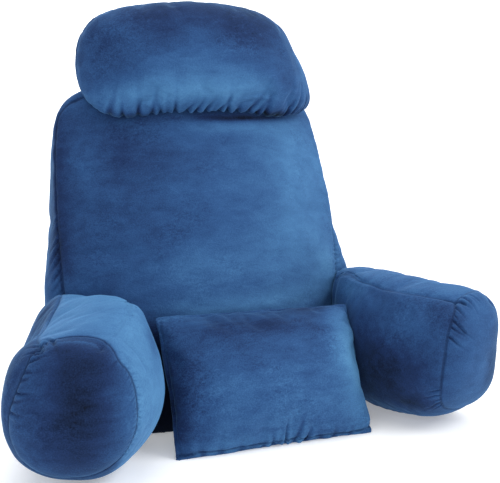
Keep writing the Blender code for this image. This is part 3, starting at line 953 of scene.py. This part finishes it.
# the last number of a thread, where given, is how strong the painted shade along its groove is
left_threads = [
    thread(LEFT_CAP, True, solids["arm_left"]),
    thread(LEFT_INNER_TOP, False, solids["arm_left"], 0.15),
    thread(LEFT_OUTER_TOP, False, solids["arm_left"], 0.55)]
arm_left, marks, cap_side = sew_arm(
    "arm_left", left_threads, LEFT_CAP_FRONT, LEFT_PULLS, LEFT_GATHERS, LEFT_SWELLS)

# %% Left arm nap and painted shading
# lay of each panel: its own nap, with painted light on the top, which faces the lamps, and painted shade on
# the outer side, which faces away from the key light
LEFT_PANEL = {"top": 0.82, "outer": 0.40, "cap": 0.48}
# centre, reach and change of lay of each broad patch: stroked nap, painted light and painted shade
LEFT_NAP_AND_SHADE_PATCHES = [
    # painted shade on the middle of the cap
    ((-0.322, -0.26, 0.136), (0.059, 0.07, 0.084), -0.44),
    ((-0.394, -0.150, 0.180), (0.014, 0.05, 0.022), -0.30),
    # painted shadow on the inner side, beside the lumbar pillow
    ((-0.188, -0.140, 0.180), (0.018, 0.06, 0.030), -0.30),
    # painted shadow in the joint with the backrest
    ((-0.302, -0.010, 0.200), (0.022, 0.05, 0.030), -0.20),
    ((-0.287, -0.24, 0.190), (0.030, 0.05, 0.028), -0.16),
    ((-0.345, -0.16, 0.205), (0.030, 0.05, 0.020), -0.15),
    ((-0.315, -0.22, 0.040), (0.060, 0.07, 0.030), -0.04),
    ((-0.250, -0.26, 0.120), (0.025, 0.05, 0.080), 0.10),
]

places = coords(arm_left)
in_cap = past(places, outward(arm_left), left_threads[0], cap_side, CAP_SOFT)
outer = beside(places, left_threads[2], PANEL_SOFT) * (1 - in_cap)
lay_and_shading = nap_and_shade_patches(places, LEFT_PANEL["top"], LEFT_NAP_AND_SHADE_PATCHES) + ARM_FOLD_SHADING * marks
lay_and_shading += in_cap * (LEFT_PANEL["cap"] - LEFT_PANEL["top"]) + outer * (LEFT_PANEL["outer"] - LEFT_PANEL["top"])
dress(arm_left, "arm_left", left_threads, lay_and_shading)

# %% Right arm
RIGHT_PULLS = [((0.276, -0.221, 0.211), 0.020, 0.0030)]
RIGHT_SWELLS = [
    ((0.30, -0.09, 0.225), (0.09, 0.20, 0.04), 0.0075),
    ((0.37, -0.18, 0.200), (0.05, 0.09, 0.05), 0.0115),
    ((0.385, -0.19, 0.045), (0.06, 0.09, 0.05), 0.0140),
    ((0.225, -0.01, 0.215), (0.05, 0.06, 0.03), 0.0060),
    ((0.226, 0.015, 0.190), (0.03, 0.04, 0.05), 0.0080),
]
RIGHT_GATHERS = [
    ((0.273, -0.224, 0.210), (0.247, -0.246, 0.156), 0.0115, 0.026, 0.0042, 1, 31, 0.6),
    ((0.278, -0.221, 0.212), (0.312, -0.207, 0.215), 0.0115, 0.018, 0.0034, 1, 32, -0.3),
    ((0.245, -0.237, 0.084), (0.264, -0.221, 0.046), 0.010, 0.016, 0.0026, -1, 33, 0.5),
]
RIGHT_CAP_FRONT = (0.32, -0.25, 0.13)

# the last number of a thread is how strong the painted shade along its groove is
right_threads = [
    thread(RIGHT_CAP, True, solids["arm_right"], 0.8),
    thread(RIGHT_INNER_TOP, False, solids["arm_right"], 0.75),
    thread(RIGHT_OUTER_TOP, False, solids["arm_right"], 0.6)]
arm_right, marks, cap_side = sew_arm(
    "arm_right", right_threads, RIGHT_CAP_FRONT, RIGHT_PULLS, RIGHT_GATHERS, RIGHT_SWELLS)

# %% Right arm nap and painted shading
# lay of the panels: their own nap, with painted light on the top panel, which faces the lamps above
RIGHT_PANEL = {"usual": 0.44, "cap": 0.04, "top": 0.15}
RIGHT_TOP_ABOVE = 0.12
# centre, reach and change of lay of each broad patch: stroked nap, painted light and painted shade
RIGHT_NAP_AND_SHADE_PATCHES = [
    # painted shade low on the inner side, which faces away from the key light
    ((0.19, -0.15, 0.10), (0.06, 0.10, 0.08), -0.37),
    # a pale nap patch by the inner top seam
    ((0.215, -0.03, 0.20), (0.03, 0.05, 0.02), 0.25),
    ((0.215, -0.19, 0.165), (0.03, 0.05, 0.03), 0.14),
    ((0.230, -0.20, 0.045), (0.05, 0.06, 0.02), -0.20),
    ((0.365, -0.22, 0.100), (0.035, 0.06, 0.06), -0.24),
    ((0.264, -0.245, 0.190), (0.020, 0.03, 0.020), -0.14),
]

places = coords(arm_right)
in_cap = past(places, outward(arm_right), right_threads[0], cap_side, CAP_SOFT)
outside, inside = (beside(places, right_threads[i], PANEL_SOFT) for i in (2, 1))
top = outside * (1 - inside) * (1 - in_cap) * (places[:, 2] > RIGHT_TOP_ABOVE)
lay_and_shading = nap_and_shade_patches(places, RIGHT_PANEL["usual"], RIGHT_NAP_AND_SHADE_PATCHES)
lay_and_shading = lay_and_shading + RIGHT_PANEL["cap"] * in_cap + RIGHT_PANEL["top"] * top + ARM_FOLD_SHADING * marks
dress(arm_right, "arm_right", right_threads, lay_and_shading)

# %% [markdown]
# ## Head pillow
# Two panels sewn round their edge. The lower edge is gathered onto a shorter thread, so short
# folds rise from it.

# %% Head pillow
HEAD_SWELLS = [
    ((-0.185, 0.10, 0.645), (0.06, 0.09, 0.04), 0.0088),
    ((0.070, 0.08, 0.670), (0.08, 0.09, 0.03), 0.0060),
    ((0.170, 0.10, 0.605), (0.035, 0.09, 0.035), -0.0070),
    ((0.125, 0.09, 0.648), (0.045, 0.09, 0.025), 0.0050),
    ((-0.110, 0.08, 0.668), (0.06, 0.08, 0.020), 0.0025),
    ((0.198, 0.11, 0.535), (0.03, 0.07, 0.03), 0.0035),
    ((0.190, 0.105, 0.512), (0.04, 0.07, 0.02), 0.0085),
    ((-0.165, 0.060, 0.498), (0.055, 0.06, 0.022), 0.0110),
    ((0.120, 0.070, 0.494), (0.045, 0.05, 0.018), 0.0070),
    ((-0.215, 0.105, 0.540), (0.03, 0.07, 0.04), 0.0045),
]
HEAD_EDGE = (
    (0.190, 0.108, 0.567), (0.178, 0.104, 0.598), (0.154, 0.098, 0.624), (0.120, 0.090, 0.645),
    (0.077, 0.083, 0.661), (0.026, 0.079, 0.671), (-0.034, 0.078, 0.674), (-0.093, 0.082, 0.671),
    (-0.139, 0.089, 0.661), (-0.176, 0.097, 0.645), (-0.202, 0.104, 0.624), (-0.216, 0.108, 0.598),
    (-0.216, 0.108, 0.567), (-0.204, 0.104, 0.524), (-0.191, 0.101, 0.510), (-0.173, 0.096, 0.501),
    (-0.147, 0.091, 0.496), (-0.108, 0.084, 0.495), (0.003, 0.078, 0.496), (0.114, 0.089, 0.495),
    (0.151, 0.097, 0.496), (0.175, 0.103, 0.501), (0.189, 0.107, 0.510), (0.196, 0.109, 0.524),
)
HEAD_GROOVE = {"depth": 0.002, "width": 0.003}
HEAD_FRONT = (0.0, 0.03, 0.53)
HEAD_GATHERS = [
    ((-0.175, 0.096, 0.500), (0.175, 0.103, 0.500), 0.019, 0.026, 0.0044, 1, 41, 0.0),
]

head_edge = thread(HEAD_EDGE, True, solids["head_pillow"])
head_pillow = stuff("head_pillow", [head_edge], [backrest_skin])
places, normals, shift, marks = start_work(head_pillow, "head_pillow")
groove(shift, head_edge, places, normals, **HEAD_GROOVE)
front_side = side_of(head_edge, HEAD_FRONT, solids["head_pillow"])
gather_rows(shift, marks, head_edge, places, normals, HEAD_GATHERS, front_side)
swell(shift, places, HEAD_SWELLS)
end_work(head_pillow, places, normals, shift, [backrest_skin])

# %% Head pillow nap and painted shading
HEAD_LAY = 0.40
# how much the crease marks of the gathers paint shade into their hollows and highlight onto their ridges
HEAD_FOLD_SHADING = 0.34
# centre, reach and change of lay of each broad patch: stroked nap, a lighter lower front, a darker top, and
# painted shade
HEAD_NAP_AND_SHADE_PATCHES = [
    ((0.01, 0.01, 0.535), (0.15, 0.08, 0.030), 0.50),
    ((-0.03, 0.02, 0.660), (0.20, 0.08, 0.035), -0.20),
    ((-0.14, 0.04, 0.525), (0.07, 0.08, 0.022), 0.20),
    ((-0.03, 0.01, 0.585), (0.10, 0.08, 0.022), 0.12),
    # painted shadow along the lower edge, where the pillow rests on the backrest, here and in the next row
    ((0.09, 0.06, 0.492), (0.09, 0.05, 0.008), -0.55),
    ((-0.13, 0.06, 0.490), (0.05, 0.05, 0.009), -0.35),
    ((-0.195, 0.085, 0.515), (0.03, 0.05, 0.020), 0.18),
    ((0.120, 0.03, 0.545), (0.030, 0.05, 0.020), -0.20),
    ((0.04, 0.03, 0.620), (0.05, 0.05, 0.025), -0.12),
    ((0.175, 0.07, 0.585), (0.025, 0.05, 0.030), 0.18),
]

lay_and_shading = nap_and_shade_patches(coords(head_pillow), HEAD_LAY, HEAD_NAP_AND_SHADE_PATCHES) + HEAD_FOLD_SHADING * marks
dress(head_pillow, "head_pillow", [head_edge], lay_and_shading)

# %% [markdown]
# ## Lumbar pillow
# A knife-edge pillow: the two panels meet in a thin lip all round, and the corners stand out as
# small ears because the filling can't reach into them.

# %% Lumbar pillow
LUMBAR_EDGE = (
    (-0.150, -0.139, -0.003), (-0.104, -0.141, -0.002), (-0.058, -0.144, -0.001), (-0.012, -0.147, -0.001),
    (0.034, -0.150, -0.001), (0.079, -0.154, -0.001), (0.125, -0.157, -0.002), (0.171, -0.161, -0.003),
    (0.170, -0.145, 0.024), (0.171, -0.129, 0.051), (0.173, -0.113, 0.078), (0.175, -0.097, 0.104),
    (0.179, -0.081, 0.130), (0.183, -0.066, 0.156), (0.189, -0.051, 0.183), (0.142, -0.047, 0.183),
    (0.095, -0.044, 0.184), (0.048, -0.040, 0.184), (0.001, -0.036, 0.185), (-0.046, -0.032, 0.186),
    (-0.093, -0.028, 0.187), (-0.140, -0.024, 0.189), (-0.137, -0.041, 0.161), (-0.137, -0.058, 0.133),
    (-0.138, -0.075, 0.105), (-0.139, -0.091, 0.078), (-0.142, -0.107, 0.051), (-0.145, -0.123, 0.024),
)
LUMBAR_LIP = (
    (-0.140, -0.150, 0.007), (-0.110, -0.152, 0.008), (-0.075, -0.154, 0.006), (-0.040, -0.157, 0.008),
    (-0.008, -0.160, 0.006), (0.025, -0.162, 0.0075), (0.060, -0.164, 0.006), (0.095, -0.164, 0.0075),
    (0.130, -0.165, 0.006), (0.162, -0.164, 0.009),
)
LUMBAR_SEAM = {"inset": 0.006, "depth": 0.0024, "width": 0.0024}
LUMBAR_GROOVE = {"depth": 0.0030, "width": 0.0022}
LUMBAR_FRONT = (0.02, -0.14, 0.10)
LUMBAR_GATHERS = [
    ((-0.005, -0.147, 0.0), (0.055, -0.152, 0.0), 0.016, 0.032, 0.0052, 1, 51, 0.0),
    ((-0.12, -0.14, 0.0), (0.15, -0.158, 0.0), 0.026, 0.014, 0.0012, 1, 52, 0.0),
]
LUMBAR_SWELLS = [
    ((0.015, -0.125, 0.10), (0.085, 0.05, 0.050), 0.010),
    ((0.178, -0.155, 0.020), (0.03, 0.04, 0.03), 0.005),
    ((0.180, -0.085, 0.125), (0.02, 0.05, 0.05), 0.0055),
]

lumbar_edge = thread(LUMBAR_EDGE, True, solids["lumbar_pillow"])
# the seam above the lower lip gets painted shade along its groove
lumbar_lip = thread(LUMBAR_LIP, False, solids["lumbar_pillow"], 0.9)
lumbar_pillow = stuff("lumbar_pillow", [lumbar_edge], [backrest_skin])
places, normals, shift, marks = start_work(lumbar_pillow, "lumbar_pillow")
front_side = side_of(lumbar_edge, LUMBAR_FRONT, solids["lumbar_pillow"])
gather_rows(shift, marks, lumbar_edge, places, normals, LUMBAR_GATHERS, front_side)
swell(shift, places, LUMBAR_SWELLS)
lip(shift, lumbar_edge, places, normals, **LUMBAR_SEAM)
groove(shift, lumbar_lip, places, normals, **LUMBAR_GROOVE)
end_work(lumbar_pillow, places, normals, shift, [backrest_skin])

# %% Lumbar pillow nap and painted shading
LUMBAR_LAY = 0.56
# how much the crease marks of the gathers paint shade into their hollows and highlight onto their ridges
LUMBAR_FOLD_SHADING = 0.26
LUMBAR_MOTTLE = 1.3
# centre, reach and change of lay of each broad patch: stroked nap, painted light and painted shade
LUMBAR_NAP_AND_SHADE_PATCHES = [
    # painted shade along the left edge
    ((-0.135, -0.12, 0.085), (0.045, 0.08, 0.075), -0.26),
    # painted shade under the top edge
    ((0.000, -0.075, 0.174), (0.12, 0.06, 0.016), -0.28),
    ((-0.065, -0.145, 0.045), (0.05, 0.06, 0.030), 0.07),
    ((-0.145, -0.10, 0.070), (0.020, 0.08, 0.090), -0.16),
    ((-0.010, -0.10, 0.148), (0.12, 0.06, 0.022), -0.14),
    # painted light down the right side, which turns towards the key light
    ((0.157, -0.11, 0.118), (0.035, 0.09, 0.070), 0.46),
    # painted shade on the top rim
    ((0.130, -0.06, 0.187), (0.06, 0.03, 0.008), -0.30),
    ((0.05, -0.14, 0.120), (0.05, 0.06, 0.035), -0.12),
    ((-0.07, -0.155, 0.012), (0.09, 0.04, 0.018), 0.13),
]

lay_and_shading = nap_and_shade_patches(coords(lumbar_pillow), LUMBAR_LAY, LUMBAR_NAP_AND_SHADE_PATCHES) + LUMBAR_FOLD_SHADING * marks
dress(lumbar_pillow, "lumbar_pillow", [lumbar_lip], lay_and_shading, LUMBAR_MOTTLE)
